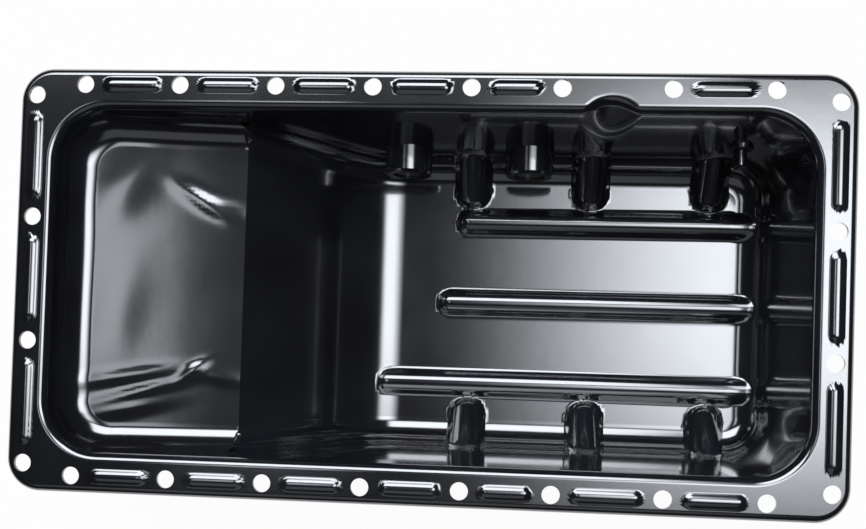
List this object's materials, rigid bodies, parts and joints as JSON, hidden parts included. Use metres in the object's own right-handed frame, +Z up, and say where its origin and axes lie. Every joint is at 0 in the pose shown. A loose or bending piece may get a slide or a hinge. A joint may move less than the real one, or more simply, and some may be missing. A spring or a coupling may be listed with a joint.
{
  "type": "engine oil pan",
  "caption": "Deep-drawn engine oil pan with a shallow end, a ribbed sump, a bolt flange with pressed beads, and plugged drain bosses in one long wall.",
  "frame": {"origin": "bottom centre of the pan: z = 0 is the underside of the sump floor, on which the loose pan stands, and x = y = 0 is the middle of the flange", "axes": "+X along the pan towards the deep end, +Y towards the wall with the drains, +Z up out of the open mouth"},
  "size_m": [0.511, 0.264, 0.1076],
  "materials": {
    "black_enamel": "gloss black paint on drawn steel",
    "plated_steel": "zinc plated",
    "copper": "soft copper, dull"
  },
  "bodies": {
    "root": {"pan_shell": "black_enamel", "drain_boss_left": "black_enamel", "drain_boss_right": "black_enamel", "drain_plug_left": "plated_steel", "drain_plug_right": "plated_steel", "plug_washer_left": "copper", "plug_washer_right": "copper", "weld_nut": "black_enamel", "nut_screw": "black_enamel", "nut_washer": "copper"}
  },
  "joints": []
}
